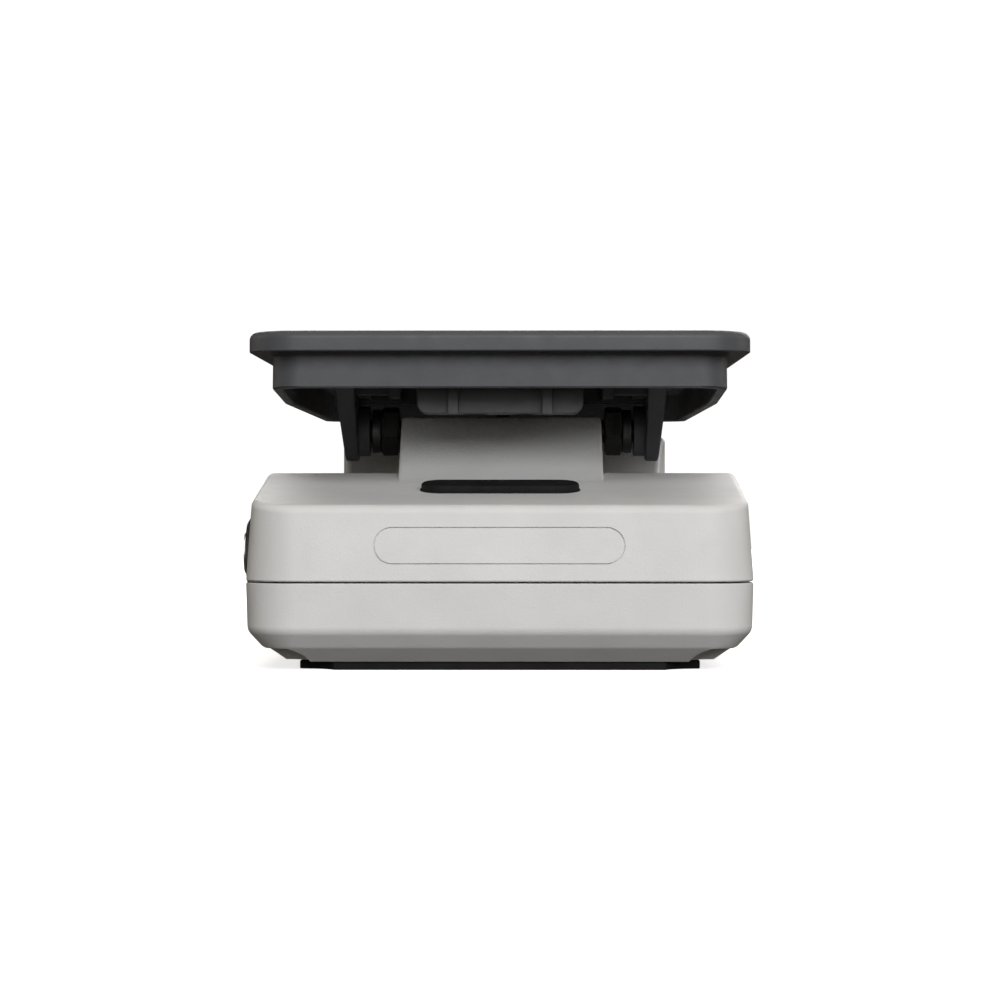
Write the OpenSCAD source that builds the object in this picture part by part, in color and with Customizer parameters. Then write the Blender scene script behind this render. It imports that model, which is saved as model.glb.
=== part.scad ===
// Volume pedal: a rocking treadle on a two-part base, geared to a potentiometer inside.
// X runs across the pedal, Y from the heel end (-Y) to the toe end (+Y) and Z is up.
// The origin is on the floor, under the centre of the base.

/* [Base] */
// Width of the base at the seam between its two halves
base_w = 101; // [99:1:103]
// Length of the base
base_l = 176; // [174:1:178]
// Radius of the base's four upright corners
corner_r = 10.5; // [9:0.5:12]
// Height of the seam between the halves
seam_z = 17.5; // [17:0.5:18]
// Height of the top face at the heel and toe ends
edge_z = 32.4; // [31:0.2:33]
// Height of the flat middle of the top face
crest_z = 39.5; // [39:0.1:40]
// Length of the sloping part of the top face at each end
crest_run = 45; // [42:1:48]
// Wall thickness of the two castings
wall = 2.6; // [2.2:0.1:3]

/* [Pivot] */
// Distance of the pivot axis behind the heel end
pivot_run = 64.5; // [63:0.5:66]
// Height of the pivot axis
pivot_z = 48.8; // [48.4:0.1:49]
// Diameter of the pivot shaft
shaft_d = 5; // [4:0.5:5]
// Half width of the housing's centre ridge that carries the shaft
ridge_half = 21.2; // [20.6:0.1:21.4]
// Height of the centre ridge
ridge_z = 51.4; // [51.2:0.1:51.6]

/* [Treadle] */
// Width of the treadle's rim
rim_w = 100; // [98:1:102]
// Length of the treadle's rim
rim_l = 171; // [168:1:172]
// Height of the rim's lower edge when the treadle is level
rim_z = 63; // [62.8:0.1:63.4]
// Thickness of the rim
rim_t = 4.1; // [3.8:0.1:4.4]
// How far the skirt stands in from the rim
skirt_inset = 4.6; // [4:0.2:5]
// Height of the skirt's lower edge at the toe end
skirt_z = 53.9; // [53.6:0.1:54.4]

/* [Sockets] */
// Diameter of the plug that the two jack sockets take
plug_d = 6.5; // [6.4:0.05:6.5]
// Height of the sockets' axis
jack_z = 22.9; // [22.6:0.1:23]
// Distance of the output socket behind the heel end
output_run = 27; // [26:0.5:28]
// Distance of the input socket behind the heel end
input_run = 50; // [49:0.5:51]

/* [Drive gears] */
// Size of one tooth: pitch diameter over number of teeth
gear_module = 0.8; // [0.8:0.05:0.8]
// Teeth on the potentiometer's pinion
pinion_teeth = 12; // [12:1:12]
// Teeth that the sector gear would have as a full circle
sector_teeth = 96; // [96:1:96]

/* [Hidden] */
$fn = 64;
skin = 0.01;            // thickness of the slices that a tapered block is drawn between
seam_gap = 0.3;
mat_t = 1.7;            // rubber mat under the base
mat_half = [40, 80];
mat_notch_y = 82;       // round notch at each corner of the mat
mat_notch_r = 7.3;
crease_z = 7.8;         // where the lower casting's bevel starts
bevel_in = 7.5;         // how far the bevel runs in under the base
bevel_mid = [3.3, 4.6]; // inset and height of the bevel's middle crease
draft_in = 2.9;         // how far the upper casting's walls lean in from the seam to draft_z
draft_z = 54;
heel_y = -base_l / 2;
deck_slope = (crest_z - edge_z) / crest_run;
deck_angle = atan(deck_slope);
pivot_y = heel_y + pivot_run;
pivot_at = [pivot_y, pivot_z];

screw_at = [43.5, 77.8]; // corner screws, their posts above and their pockets below
screw_hole_r = 1.65;
post_r = 4.6;
post_h = 14.5;
pocket_r = 6.6;
pocket_z = 4.4;
head_r = 3.6;
head_top = 8;

ramp_r = 14;            // concave blend at the ramp's foot
ramp_angle = 42;
ramp_foot_y = heel_y + 32;
ramp_foot_z = edge_z + deck_slope * 32;
hill_r = 100;           // round back of the wide rear hump
hill_y = 42;
hill_z = 49;
hill_front = -4;
hill_plan = [[34.9, hill_front], [38.5, hill_y], [38.5, 72]];
slot_y = [-0.7, 16.5];  // slot in the hump for the sector gear's arm
slot_half = 3;

pad_size = [32, 8.4];   // bumper pads
pad_t = 1.65;
pad_run = 21;
toe_pad_y = 57;
toe_pad_t = 1.35;

nut_x = [22.2, 26.1];
washer_x = [26.1, 28.1];
boss_x = 28.5;
lug_x = [31, 34.3];
lug_tip_r = 6.5;
bush_r = 4;
web_z = 54.7;           // lower edge of the web that passes over the nuts
run_gap = 0.05;         // radial clearance of the pivot's running fit
fit_gap = 0.02;         // radial clearance between parts that don't turn

skirt_t = 2;
plate_z = 61.5;         // underside of the treadle's top plate
grip_t = 1.6;
grip_inset = 4;
rim_r = 10;
block_half = 16.85;     // heel stop block
block_run = [19.5, 27.5];
block_z = 51.2;

jack_half = 7.6;
jack_x = [22.5, 46.6];
sleeve_r = 4.5;
sleeve_x = 52.3;
seat_x = 49.6;          // flat seat of the jack nut on the tapered side wall
seat_r = 8.2;
jack_nut_x = 51.7;
jack_nut_flats = 12.7;

board_z = [13.2, 14.8];
board_box = [[-42, -72], [42, -28]];
board_post_at = [[-14, -68], [34, -67], [-34, -36], [14, -33]];

pressure_angle = 25;
backlash = 0.14;
sector_r = gear_module * sector_teeth / 2;
pinion_r = gear_module * pinion_teeth / 2;
mesh_angle = -45;       // direction from the pivot to the pinion
pinion_at = [pivot_y + (sector_r + pinion_r) * cos(mesh_angle),
             pivot_z + (sector_r + pinion_r) * sin(mesh_angle)];
sector_half_t = 1.5;
tooth_pitch = 360 / sector_teeth;
sector_teeth_span = [-7, 5]; // teeth that are really there, counted from mesh_angle
sector_root = sector_r - 1.15 * gear_module;
sector_screw_at = [for (x = [-4.4, 4.4]) [x, pivot_y + 32.5]];
block_screw_at = [for (x = [-5, 5]) [x, heel_y + (block_run[0] + block_run[1]) / 2]];
pot_r = 8.5;
bracket_x = [8, 9.5];
bracket_foot_z = mat_t + 3.2;
bracket_screw_at = [for (y = [-8, 8]) [16, pinion_at[0] + y]];
flange_z = 59.3;        // underside of the sector gear's flange
screw_tip_z = 64;

// ---- helpers ----

// Rectangle with round corners, centred
module rounded_rect(w, l, r) {
    square([w - 2 * r, l], center = true);
    square([w, l - 2 * r], center = true);
    for (x = [-1, 1], y = [-1, 1])
        translate([x * (w / 2 - r), y * (l / 2 - r)]) circle(r);
}

// Block of the base's plan that passes through levels of [height, inset]
module base_block(levels)
    hull() for (s = levels)
        translate([0, 0, s[0]])
            linear_extrude(skin)
                rounded_rect(base_w - 2 * s[1], base_l - 2 * s[1], corner_r - s[1]);

// A YZ outline extruded from x0 to x1
module across(x0, x1)
    translate([x0, 0, 0]) rotate([90, 0, 90]) linear_extrude(x1 - x0) children();

// The same thing on both sides of the pedal
module both_sides() {
    children();
    mirror([1, 0, 0]) children();
}

module at_corners()
    for (x = [-1, 1], y = [-1, 1])
        translate([x * screw_at[0], y * screw_at[1], 0]) children();

// Cylinder along X from x0 to x1 about the point at = [y, z]
module rod(at, x0, x1, r)
    translate([x0, at[0], at[1]]) rotate([0, 90, 0]) cylinder(h = x1 - x0, r = r);

// Hexagonal prism along X
module hex_rod(at, x0, x1, flats, turn = 0)
    translate([x0, at[0], at[1]]) rotate([0, 90, 0]) rotate(turn)
        cylinder(h = x1 - x0, r = flats / sqrt(3), $fn = 6);

// Flat bar with half-round ends
module stadium(w, l, t)
    linear_extrude(t) {
        square([w - l, l], center = true);
        for (x = [-1, 1]) translate([x * (w - l) / 2, 0]) circle(l / 2);
    }

module screw(head_r, head_z0, head_z1, shank_r, shank_z1) {
    translate([0, 0, head_z0]) cylinder(h = head_z1 - head_z0, r = head_r);
    translate([0, 0, head_z1]) cylinder(h = shank_z1 - head_z1, r = shank_r);
}

// ---- outlines of the upper casting, in Y and Z ----

function deck(drop) = [
    [heel_y, seam_z - 1], [-heel_y, seam_z - 1], [-heel_y, edge_z - drop],
    [-heel_y - crest_run, crest_z - drop], [heel_y + crest_run, crest_z - drop],
    [heel_y, edge_z - drop]];

ramp_centre = [ramp_foot_y - ramp_r * sin(deck_angle), ramp_foot_z + ramp_r * cos(deck_angle)];
function ramp_arc() = [for (a = [deck_angle : (ramp_angle - deck_angle) / 8 : ramp_angle + 0.01])
    [ramp_centre[0] + ramp_r * sin(a), ramp_centre[1] - ramp_r * cos(a)]];
ramp_end = ramp_arc()[8];
ramp_top_y = ramp_end[0] + (ridge_z - ramp_end[1]) / tan(ramp_angle);

function ridge() = concat(
    [[ramp_foot_y, seam_z]], ramp_arc(),
    [[ramp_top_y, ridge_z], [pivot_y, ridge_z + 0.5], [pivot_y + 9, ridge_z + 0.5],
     [hill_y - 12, hill_z - 0.2], [hill_y, seam_z]]);

// Wide rear hump; grow is negative for its inner face
module hill(grow) {
    plan = [for (p = hill_plan) [p[0] + grow, p[1] + (p[1] < 0 ? -grow : grow)]];
    intersection() {
        rod([hill_y, hill_z - hill_r], -base_w / 2, base_w / 2, hill_r + grow, $fn = 180);
        across(-base_w / 2, base_w / 2)
            polygon([[hill_front - grow, seam_z], [hill_front - grow, hill_z + 5],
                     [62 + grow, hill_z + 5], [72 + grow, seam_z + 12], [72 + grow, seam_z]]);
        translate([0, 0, seam_z])
            linear_extrude(hill_z)
                polygon(concat(plan, [for (i = [2 : -1 : 0]) [-plan[i][0], plan[i][1]]]));
    }
}

module upper_outer()
    intersection() {
        base_block([[seam_z + seam_gap / 2, 0], [draft_z, draft_in]]);
        union() {
            across(-base_w / 2, base_w / 2) polygon(deck(0));
            across(-ridge_half, ridge_half) polygon(ridge());
            hill(0);
        }
    }

module upper_hollow()
    difference() {
        intersection() {
            base_block([[seam_z - 1, wall], [draft_z, wall + draft_in]]);
            union() {
                across(-base_w / 2, base_w / 2) polygon(deck(wall));
                across(wall - ridge_half, ridge_half - wall)
                    translate([wall + 1, -wall]) polygon(ridge());
                hill(-wall);
            }
        }
        // solid bar that holds the shaft
        across(-ridge_half, ridge_half)
            translate([pivot_y - 6.5, pivot_z - 6]) square([13, 14]);
    }

module jack_seats(r) {
    rod([heel_y + output_run, jack_z], -base_w, -seat_x, r);
    rod([heel_y + input_run, jack_z], seat_x, base_w, r);
}

// ---- base ----

module base_upper_housing()
    color("#D2D1CD") difference() {
        union() {
            difference() {
                upper_outer();
                upper_hollow();
            }
            at_corners() translate([0, 0, seam_z + seam_gap / 2]) cylinder(h = post_h, r = post_r);
        }
        at_corners() translate([0, 0, seam_z - 1]) cylinder(h = post_h - 1.5, r = screw_hole_r);
        rod(pivot_at, -base_w / 2, base_w / 2, shaft_d / 2 + fit_gap);
        jack_seats(seat_r);
        rod([heel_y + output_run, jack_z], -base_w, -base_w / 4, sleeve_r + run_gap);
        rod([heel_y + input_run, jack_z], base_w / 4, base_w, sleeve_r + run_gap);
        translate([-slot_half, slot_y[0], crest_z]) cube([2 * slot_half, slot_y[1] - slot_y[0], 20]);
    }

module lower_outer()
    base_block([[mat_t, bevel_in], [bevel_mid[1], bevel_mid[0]], [crease_z, 0.3],
                [seam_z - seam_gap / 2 - skin, 0]]);

module lower_hollow()
    base_block([[mat_t + 2.4, bevel_in + wall - 0.6], [crease_z + 0.8, wall + 0.3], [seam_z, wall]]);

module base_lower_housing()
    color("#CECDCA") difference() {
        intersection() {
            lower_outer();
            union() {
                difference() {
                    lower_outer();
                    lower_hollow();
                }
                at_corners() {
                    cylinder(h = pocket_z + 2.4, r = pocket_r + 2.2);
                    cylinder(h = seam_z, r = head_r + 2);
                }
                for (p = board_post_at) translate([p[0], p[1], mat_t]) cylinder(h = board_z[0] - mat_t, r = 3);
                for (p = bracket_screw_at)
                    translate([p[0], p[1], mat_t]) cylinder(h = bracket_foot_z - mat_t, r = 3.5);
            }
        }
        at_corners() {
            cylinder(h = pocket_z, r = pocket_r);
            cylinder(h = head_top, r = head_r + 0.2);
            cylinder(h = seam_z, r = 2.2);
        }
        for (p = board_post_at) translate([p[0], p[1], 6]) cylinder(h = 10, r = 1.25);
        for (p = bracket_screw_at) translate([p[0], p[1], mat_t + 1]) cylinder(h = 10, r = 1.25);
        jack_seats(seat_r);
    }

module rubber_base_mat()
    color("#1E1F20") linear_extrude(mat_t) difference() {
        square(2 * mat_half, center = true);
        for (x = [-1, 1], y = [-1, 1])
            translate([x * mat_half[0], y * mat_notch_y]) circle(mat_notch_r);
    }

module case_screws()
    color("#3A3A3C") at_corners() difference() {
        screw(head_r - 0.1, head_top - 2.8, head_top, 1.6, 28);
        translate([0, 0, head_top - 2.9]) cylinder(h = 1.5, r = 1.45, $fn = 6);
    }

// Rubber pad with a thin lip at its foot
module bumper(t) {
    stadium(pad_size[0], pad_size[1], t);
    stadium(pad_size[0] + 0.5, pad_size[1] + 0.5, 0.35);
}

module heel_bumper_pad()
    color("#201F1D") translate([0, heel_y + pad_run, edge_z + deck_slope * pad_run])
        rotate([deck_angle, 0, 0]) bumper(pad_t);

toe_pad_angle = asin((toe_pad_y - hill_y) / hill_r);
module toe_bumper_pad()
    color("#201F1D") difference() {
        rod([hill_y, hill_z - hill_r], -20, 20, hill_r + toe_pad_t, $fn = 180);
        rod([hill_y, hill_z - hill_r], -21, 21, hill_r, $fn = 180);
        difference() {
            translate([-30, -200, -200]) cube([60, 400, 400]);
            translate([0, toe_pad_y, hill_z - 6]) stadium(pad_size[0], pad_size[1], 10);
        }
    }

// ---- pivot ----

module pivot_shaft()
    color("#B9BABC") rod(pivot_at, -lug_x[1] + 0.5, lug_x[1] - 0.5, shaft_d / 2);

module pivot_nuts()
    color("#1F2022") both_sides() difference() {
        hex_rod(pivot_at, nut_x[0], nut_x[1], 9.5, 14);
        rod(pivot_at, 0, base_w, shaft_d / 2 + fit_gap);
    }

module pivot_washers()
    color("#8E8F92") both_sides() difference() {
        rod(pivot_at, washer_x[0], washer_x[1], 4.7);
        rod(pivot_at, 0, base_w, shaft_d / 2 + fit_gap);
    }

module pivot_bushings()
    color("#A98F5A") both_sides() difference() {
        rod(pivot_at, boss_x + 0.1, lug_x[1], bush_r);
        rod(pivot_at, 0, base_w, shaft_d / 2 + run_gap);
    }

// ---- sockets; each is drawn on the +X side about Y = 0 ----

module jack_body()
    difference() {
        translate([jack_x[0], -jack_half, board_z[1]])
            cube([jack_x[1] - jack_x[0], 2 * jack_half, jack_z + jack_half - board_z[1]]);
        rod([0, jack_z], jack_x[0] + 1.6, base_w, plug_d / 2);
    }

module jack_sleeve()
    difference() {
        rod([0, jack_z], jack_x[1], sleeve_x, sleeve_r);
        rod([0, jack_z], 0, base_w, plug_d / 2);
    }

module jack_nut()
    difference() {
        hex_rod([0, jack_z], seat_x, jack_nut_x, jack_nut_flats);
        rod([0, jack_z], 0, base_w, sleeve_r + fit_gap);
    }

module on_left() translate([0, heel_y + output_run, 0]) mirror([1, 0, 0]) children();
module on_right() translate([0, heel_y + input_run, 0]) children();

module output_jack_body() color("#232426") on_left() jack_body();
module output_jack_sleeve() color("#C9CACC") on_left() jack_sleeve();
module output_jack_nut() color("#5E6063") on_left() jack_nut();
module input_jack_body() color("#232426") on_right() jack_body();
module input_jack_sleeve() color("#C9CACC") on_right() jack_sleeve();
module input_jack_nut() color("#5E6063") on_right() jack_nut();

// ---- electrics ----

module circuit_board()
    color("#1F5A3A") difference() {
        translate([board_box[0][0], board_box[0][1], board_z[0]])
            cube([board_box[1][0] - board_box[0][0], board_box[1][1] - board_box[0][1],
                  board_z[1] - board_z[0]]);
        for (p = board_post_at) translate([p[0], p[1], 0]) cylinder(h = 30, r = 1.5);
    }

// Self-tapping screw, head up
module small_screw(top_z, length) {
    translate([0, 0, top_z - 1.8]) cylinder(h = 1.8, r = 2.5);
    translate([0, 0, top_z - 1.8 - length]) cylinder(h = length, r = 1.2);
}

module board_screws()
    color("#9A9B9D") for (p = board_post_at) translate([p[0], p[1], 0]) small_screw(board_z[1] + 1.8, 6);

module pot_bracket()
    color("#A9AAAC") difference() {
        union() {
            translate([bracket_x[0], pinion_at[0] - 12, bracket_foot_z])
                cube([bracket_x[1] - bracket_x[0], 24, 24]);
            translate([bracket_x[0], pinion_at[0] - 12, bracket_foot_z]) cube([14, 24, 1.5]);
        }
        rod(pinion_at, 0, 20, 3.6);
        for (p = bracket_screw_at) translate([p[0], p[1], 0]) cylinder(h = 10, r = 1.5);
    }

module bracket_screws()
    color("#9A9B9D") for (p = bracket_screw_at)
        translate([p[0], p[1], 0]) small_screw(bracket_foot_z + 3.3, 3.4);

module potentiometer()
    color("#8C9094") difference() {
        union() {
            rod(pinion_at, bracket_x[1], bracket_x[1] + 8, pot_r);
            rod(pinion_at, 5, bracket_x[1] + 1, 3.5);
            for (x = [-4, 0, 4])
                translate([bracket_x[1] + 2, pinion_at[0] + x - 0.6, pinion_at[1]])
                    cube([0.6, 1.2, pot_r + 3]);
        }
        rod(pinion_at, 0, bracket_x[1] + 7, 3 + run_gap);
    }

module pot_nut()
    color("#B9BABC") difference() {
        hex_rod(pinion_at, bracket_x[0] - 2, bracket_x[0], 10);
        rod(pinion_at, 0, 20, 3.5 + fit_gap);
    }

module pot_shaft()
    color("#D0D1D3") rod(pinion_at, -3.5, bracket_x[1] + 6.5, 3);

// Lead from one pot terminal down to the board, at spacing s from the middle one
function lead_route(s) = [
    [12.6, pinion_at[0] + s, pinion_at[1] + pot_r + 2.4],
    [15, pinion_at[0] + s - 4, 31], [17 + s / 3, pinion_at[0] - 14, 31],
    [18 + s / 2, -20, 24], [18 + s / 2, -28, 18], [18 + s / 2, -29.3, board_z[1]]];

module pot_wires()
    color("#7A1F1C") for (s = [-4, 0, 4]) {
        route = lead_route(s);
        for (i = [0 : len(route) - 2]) hull() {
            translate(route[i]) sphere(0.6, $fn = 8);
            translate(route[i + 1]) sphere(0.6, $fn = 8);
        }
    }

// ---- drive gears, drawn in the YZ plane about their own centre ----

function inv_deg(a) = tan(a) * 180 / PI - a;
function base_r(teeth) = gear_module * teeth / 2 * cos(pressure_angle);
// Half of a tooth's angular width at radius rho
function half_tooth(teeth, rho) =
    90 / teeth - backlash / (gear_module * teeth) * 180 / PI
    + inv_deg(pressure_angle) - inv_deg(acos(min(1, base_r(teeth) / rho)));
function polar(r, a) = [r * cos(a), r * sin(a)];

module gear_tooth(teeth) {
    pitch_r = gear_module * teeth / 2;
    root = pitch_r - 1.15 * gear_module;
    foot = max(base_r(teeth), root);
    tip = pitch_r + 0.9 * gear_module;
    radii = [for (i = [0 : 5]) foot + (tip - foot) * i / 5];
    polygon(concat(
        [polar(root - 0.3, -half_tooth(teeth, foot))],
        [for (r = radii) polar(r, -half_tooth(teeth, r))],
        [for (i = [5 : -1 : 0]) polar(radii[i], half_tooth(teeth, radii[i]))],
        [polar(root - 0.3, half_tooth(teeth, foot))]));
}

module drive_pinion()
    color("#29292B") difference() {
        across(-3, 3) translate(pinion_at) {
            circle(pinion_r - 1.15 * gear_module);
            for (i = [0 : pinion_teeth - 1])
                rotate(mesh_angle + 180 + (i + 0.5) * 360 / pinion_teeth) gear_tooth(pinion_teeth);
        }
        rod(pinion_at, -10, 10, 3 + fit_gap);
    }

module sector_gear() {
    a0 = mesh_angle + (sector_teeth_span[0] - 0.6) * tooth_pitch;
    a1 = mesh_angle + (sector_teeth_span[1] + 0.6) * tooth_pitch;
    am = (a0 + a1) / 2;
    color("#29292B") {
        across(-sector_half_t, sector_half_t) {
            translate(pivot_at) {
                intersection() {
                    difference() {
                        circle(sector_root);
                        circle(sector_root - 7);
                    }
                    polygon([[0, 0], polar(60, a0), polar(60, am), polar(60, a1)]);
                }
                for (i = [sector_teeth_span[0] : sector_teeth_span[1]])
                    rotate(mesh_angle + i * tooth_pitch) gear_tooth(sector_teeth);
            }
            polygon([[pivot_y + 28, 33.6], [pivot_y + 33.6, 32.2], [pivot_y + 37, 36],
                     [pivot_y + 37, plate_z], [pivot_y + 28, plate_z]]);
        }
        difference() {
            translate([-7, pivot_y + 28, flange_z]) cube([14, 9, plate_z - flange_z]);
            for (p = sector_screw_at) translate([p[0], p[1], 50]) cylinder(h = 20, r = 1.4);
        }
    }
}

// ---- treadle ----

module lug()
    across(lug_x[0], lug_x[1]) {
        translate(pivot_at) circle(lug_tip_r);
        polygon([[pivot_y - 24, plate_z + 1], [pivot_y - 18.5, 55.2], [pivot_y - 4.1, pivot_z - 5.05],
                 [pivot_y + 4.9, pivot_z - 4.3], [pivot_y + 19.5, plate_z + 1]]);
    }

// Cuts the skirt's lower edge: it rises a little towards the heel
module skirt_trim()
    across(-base_w, base_w)
        polygon([[-base_l, 0], [base_l, 0], [base_l, skirt_z], [heel_y + 42, skirt_z],
                 [heel_y + 7, skirt_z + 2.1], [-base_l, skirt_z + 2.1]]);

module treadle_casting() {
    skirt_w = rim_w - 2 * skirt_inset;
    skirt_l = rim_l - 2 * skirt_inset;
    color("#4A4B4E") difference() {
        union() {
            translate([0, 0, rim_z]) linear_extrude(rim_t) rounded_rect(rim_w, rim_l, rim_r);
            difference() {
                translate([0, 0, skirt_z]) linear_extrude(rim_z - skirt_z + 0.5)
                    rounded_rect(skirt_w, skirt_l, 6.3);
                translate([0, 0, skirt_z - 1]) linear_extrude(plate_z - skirt_z + 1)
                    rounded_rect(skirt_w - 2 * skirt_t, skirt_l - 2 * skirt_t, 4.3);
                skirt_trim();
            }
            both_sides() {
                lug();
                rod(pivot_at, boss_x, lug_x[0] + 0.1, 5.4);
                // stiffening ribs in front of the pivot
                translate([21.4, pivot_y - 18, 55.3]) cube([2.4, 34, plate_z + 1 - 55.3]);
                translate([28, pivot_y - 9, 55.6]) cube([3.1, 18, plate_z + 1 - 55.6]);
                translate([21.5, pivot_y - 15, 56]) cube([10, 2, plate_z + 1 - 56]);
            }
            // web over the shaft
            translate([-lug_x[0], pivot_y - 1.5, web_z]) cube([2 * lug_x[0], 3, plate_z + 1 - web_z]);
        }
        translate([0, 0, rim_z + rim_t - grip_t]) linear_extrude(10)
            rounded_rect(rim_w - 2 * grip_inset, rim_l - 2 * grip_inset, rim_r - grip_inset);
        rod(pivot_at, -base_w, base_w, bush_r + fit_gap);
        for (p = concat(sector_screw_at, block_screw_at))
            translate([p[0], p[1], plate_z - 1]) cylinder(h = screw_tip_z - plate_z + 1.3, r = 1.25);
    }
}

module treadle_grip_pad()
    color("#2A2B2D") translate([0, 0, rim_z + rim_t - grip_t]) linear_extrude(grip_t)
        rounded_rect(rim_w - 2 * grip_inset - 0.4, rim_l - 2 * grip_inset - 0.4, rim_r - grip_inset - 0.2);

module heel_stop_block() {
    depth = block_run[1] - block_run[0];
    y0 = heel_y + block_run[0];
    color("#5A5B5D") difference() {
        union() {
            translate([0, y0 + depth, 0]) rotate([90, 0, 0]) linear_extrude(depth) {
                translate([-block_half, block_z + 2]) square([2 * block_half, plate_z - block_z - 2]);
                translate([2 - block_half, block_z]) square([2 * block_half - 4, 4]);
                for (x = [-1, 1]) translate([x * (block_half - 2), block_z + 2]) circle(2);
            }
            both_sides()
                translate([8.4, y0 - 2, block_z - 0.2]) cube([2.2, 2.5, plate_z - block_z + 0.2]);
        }
        for (p = block_screw_at) translate([p[0], p[1], 0]) {
            cylinder(h = flange_z, r = 3);
            cylinder(h = plate_z + 1, r = 1.4);
        }
    }
}

module treadle_screws()
    color("#9A9B9D") for (p = concat(sector_screw_at, block_screw_at))
        translate([p[0], p[1], 0]) screw(2.5, flange_z - 1.8, flange_z, 1.2, screw_tip_z);

base_upper_housing();
base_lower_housing();
rubber_base_mat();
case_screws();
heel_bumper_pad();
toe_bumper_pad();
pivot_shaft();
pivot_nuts();
pivot_washers();
output_jack_body();
output_jack_sleeve();
output_jack_nut();
input_jack_body();
input_jack_sleeve();
input_jack_nut();
circuit_board();
board_screws();
pot_bracket();
bracket_screws();
potentiometer();
pot_nut();
pot_wires();
pot_shaft();
drive_pinion();
treadle_casting();
treadle_grip_pad();
heel_stop_block();
pivot_bushings();
sector_gear();
treadle_screws();
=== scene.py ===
"""The looks of a volume pedal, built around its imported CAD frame.

X runs across the pedal, Y from the heel end to the toe end and Z up. Shapes are drawn in
millimetres, and place() turns a finished mesh into metres.
"""

import math

import bpy
import bmesh
from mathutils import Matrix, Vector


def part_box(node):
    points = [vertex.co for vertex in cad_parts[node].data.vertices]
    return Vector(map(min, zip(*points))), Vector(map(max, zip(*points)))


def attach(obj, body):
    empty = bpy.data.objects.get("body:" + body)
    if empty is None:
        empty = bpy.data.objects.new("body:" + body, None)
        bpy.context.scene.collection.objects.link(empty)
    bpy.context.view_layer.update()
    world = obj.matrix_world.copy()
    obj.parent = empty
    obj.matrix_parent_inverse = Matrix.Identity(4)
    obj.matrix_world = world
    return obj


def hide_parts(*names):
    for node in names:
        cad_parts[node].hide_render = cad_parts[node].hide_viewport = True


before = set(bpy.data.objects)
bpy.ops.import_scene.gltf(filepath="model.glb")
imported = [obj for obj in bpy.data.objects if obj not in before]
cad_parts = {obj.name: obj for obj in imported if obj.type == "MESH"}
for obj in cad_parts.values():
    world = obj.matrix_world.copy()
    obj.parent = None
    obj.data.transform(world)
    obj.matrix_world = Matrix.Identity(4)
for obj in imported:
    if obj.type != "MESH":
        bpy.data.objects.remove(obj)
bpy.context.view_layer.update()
MM = 0.001


# ---------------------------------------------------------------- sizes, in millimetres

def box_mm(node):
    low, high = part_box(node)
    return low / MM, high / MM


_, base_high = box_mm("base_lower_housing")
BASE_X, BASE_Y = base_high.x, base_high.y
CORNER_R = 10.5
SEAM_Z = base_high.z + 0.15
SEAM_GAP = 0.3
WALL = 2.6
DECK_EDGE_Z = 32.4
CREST_Z = 39.5
CREST_Y = 43.0
CREST_SOFT = 1.6
DECK_SLOPE = (CREST_Z - DECK_EDGE_Z) / (BASE_Y - CREST_Y)
DECK_ANGLE = math.atan(DECK_SLOPE)
DRAFT = 0.079
DECK_FILLET = 1.6

shaft_low, shaft_high = box_mm("pivot_shaft")
SHAFT_R = (shaft_high.z - shaft_low.z) / 2
PIVOT = ((shaft_high.y + shaft_low.y) / 2, (shaft_high.z + shaft_low.z) / 2)

RIDGE_X = 21.2
RIDGE_Z = 51.4
RIDGE_DRAFT = 0.012
RAMP_R = 14.0
RAMP_ANGLE = math.radians(42)
RAMP_FOOT_Y = -BASE_Y + 32
HILL_R = 100.0
HILL_Y = 42.0
HILL_Z = 49.0
HILL_FRONT = -4.0
HILL_FRONT_X = 34.9
HILL_X = 38.5
HILL_BACK_Y = 64.87     # where the hump's flat back face begins, and its run over rise
HILL_BACK_SLOPE = 10 / 24.5
SLOT_X, SLOT_Y = 3.0, (-0.7, 16.5)

CORNERS = [(x, y) for x in (-43.5, 43.5) for y in (-77.8, 77.8)]
POST_R = 4.6
POCKET_R, POCKET_Z = 6.6, 4.4
NOTCH_Y, NOTCH_R = 82.0, 7.3
SEAT_R = 8.2
SOCKET_R, SOCKET_X = 4.55, 25       # the sockets' holes, and how far in they start
SCREW_BORE_R, SCREW_BORE_Z = 1.65, 29.5
BAR_Y, BAR_BELOW, BAR_ABOVE = 6.5, 6, 8     # the solid bar round the shaft, in the ridge
STEM_R, STEM_BORE_R, HEAD_RECESS_R = 5.6, 2.2, 3.8
BOARD_POST_R, BOARD_POST_Z, BOARD_BORE_R = 3, 13.2, 1.25
BEARING_R = 4.02
HEEL_PAD_Y, TOE_PAD_Y = -67.0, 57.0
JACK_NUT_TURN = 30
JACK_Z = 22.9
SEAT_X = 49.6

_, rim_high = box_mm("treadle_casting")
RIM_X, RIM_Y, RIM_TOP = rim_high.x, rim_high.y, rim_high.z
RIM_Z = 63.0
RIM_R = 10.0
PLATE_Z = 61.5
SKIRT_INSET = 4.6
SKIRT_T = 2.0
SKIRT_Z = 53.9
SKIRT_RISE = 2.1
LIFT_Y = (-BASE_Y + 42, -BASE_Y + 7)    # where the skirt's lower edge starts and ends its rise
PAD_INSET = 4.0
PAD_T = 1.6


# ---------------------------------------------------------------- outlines

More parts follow.
